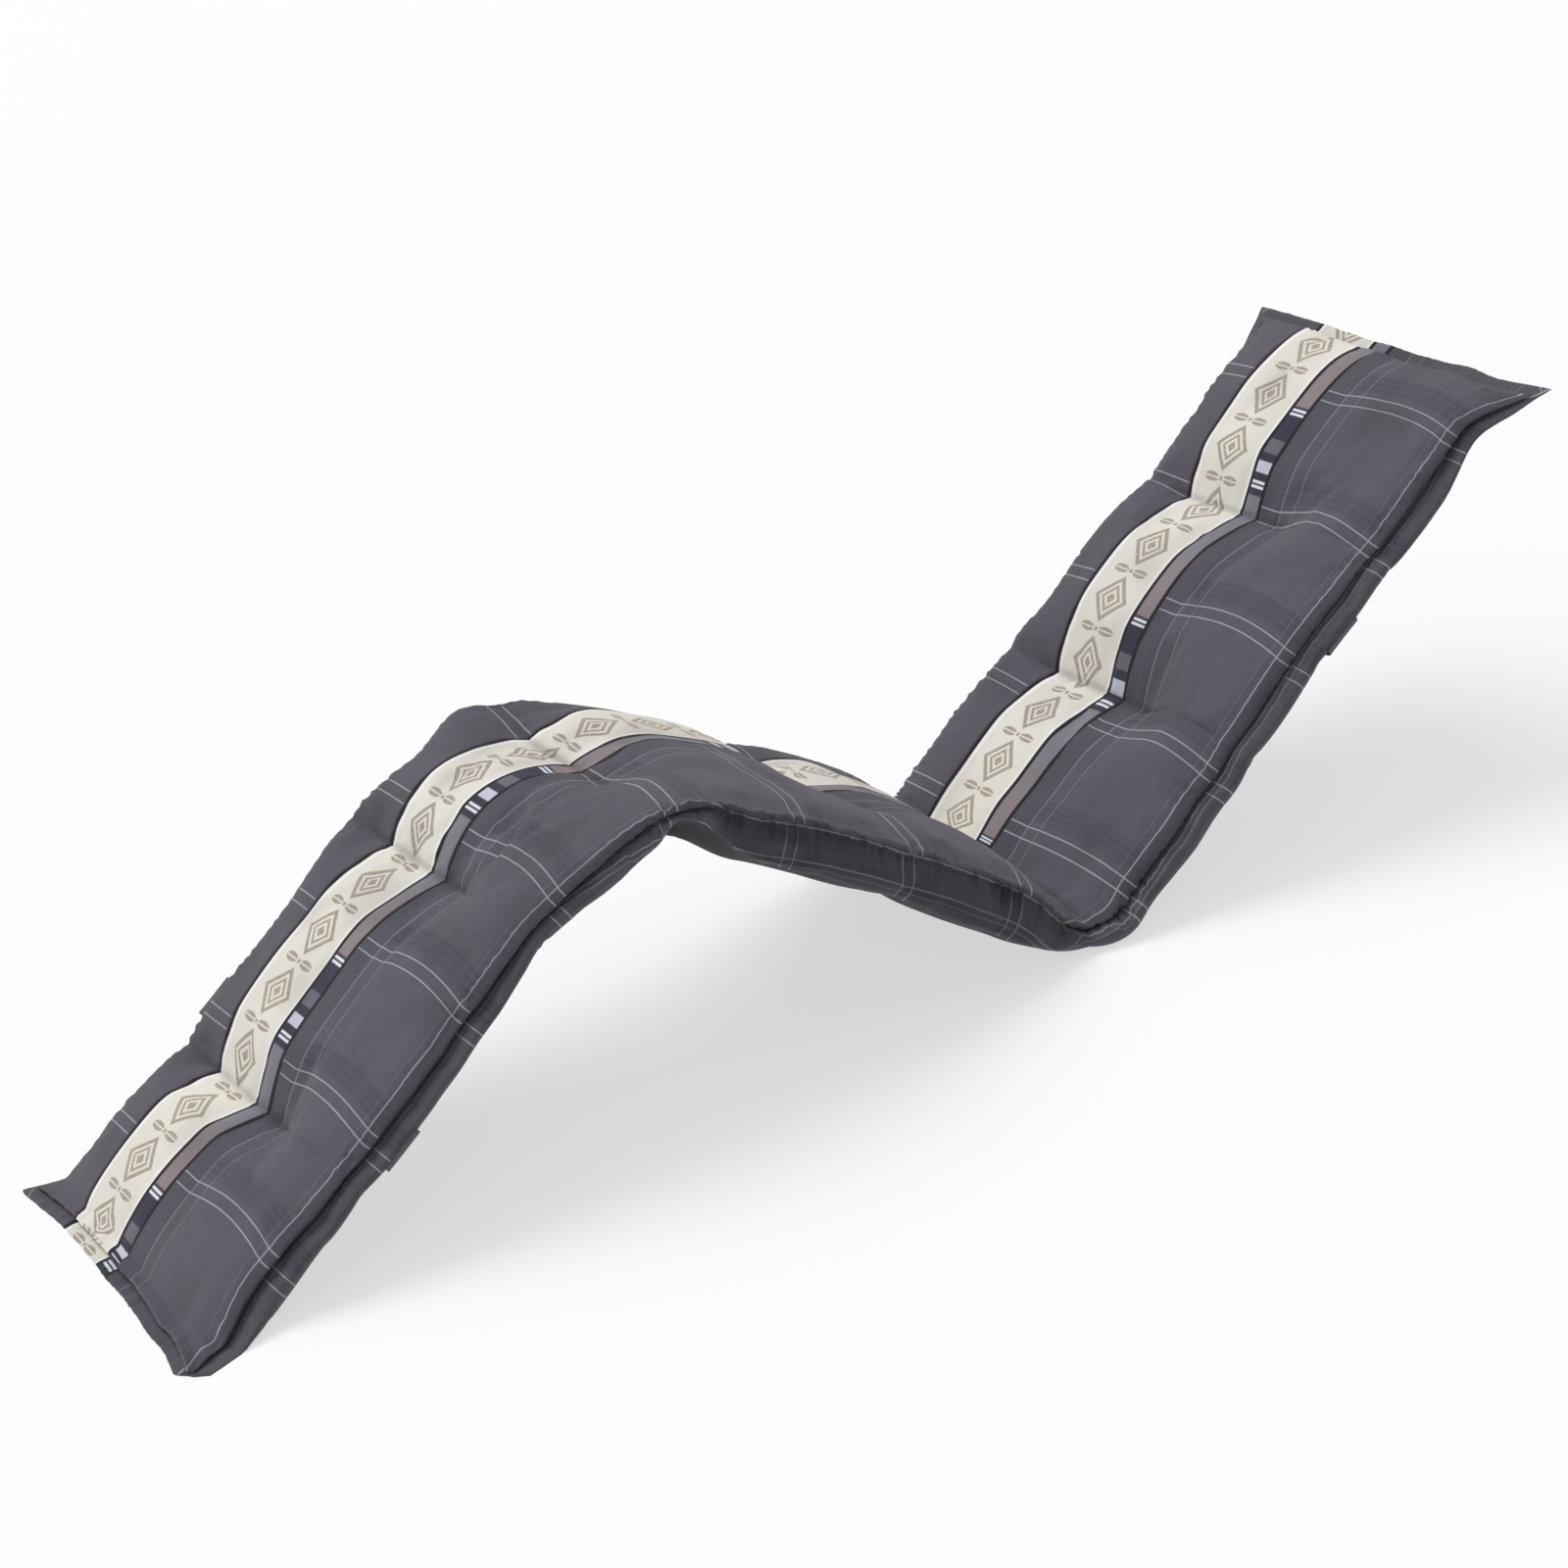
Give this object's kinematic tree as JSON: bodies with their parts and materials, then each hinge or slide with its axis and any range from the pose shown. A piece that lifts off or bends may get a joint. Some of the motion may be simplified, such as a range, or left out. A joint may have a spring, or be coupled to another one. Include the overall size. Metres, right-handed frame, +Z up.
{
  "type": "sun lounger cushion",
  "caption": "Long padded lounger cushion bent up over the knee and down to a valley under a raised back, with sewn crosswise channels, pointed corners and fixing straps.",
  "frame": {"origin": "middle of the bottom of the bounding box, on the floor that the pad rests on", "axes": "+Z up, +Y from the foot end to the head end, +X across the pad towards the side that the picture shows"},
  "size_m": [0.504, 1.6178, 0.4135],
  "materials": {
    "cover": "woven, matt",
    "strap": "woven, matt"
  },
  "bodies": {
    "root": {"cushion": "cover", "leg_strap": "strap", "back_strap": "strap"}
  },
  "joints": []
}
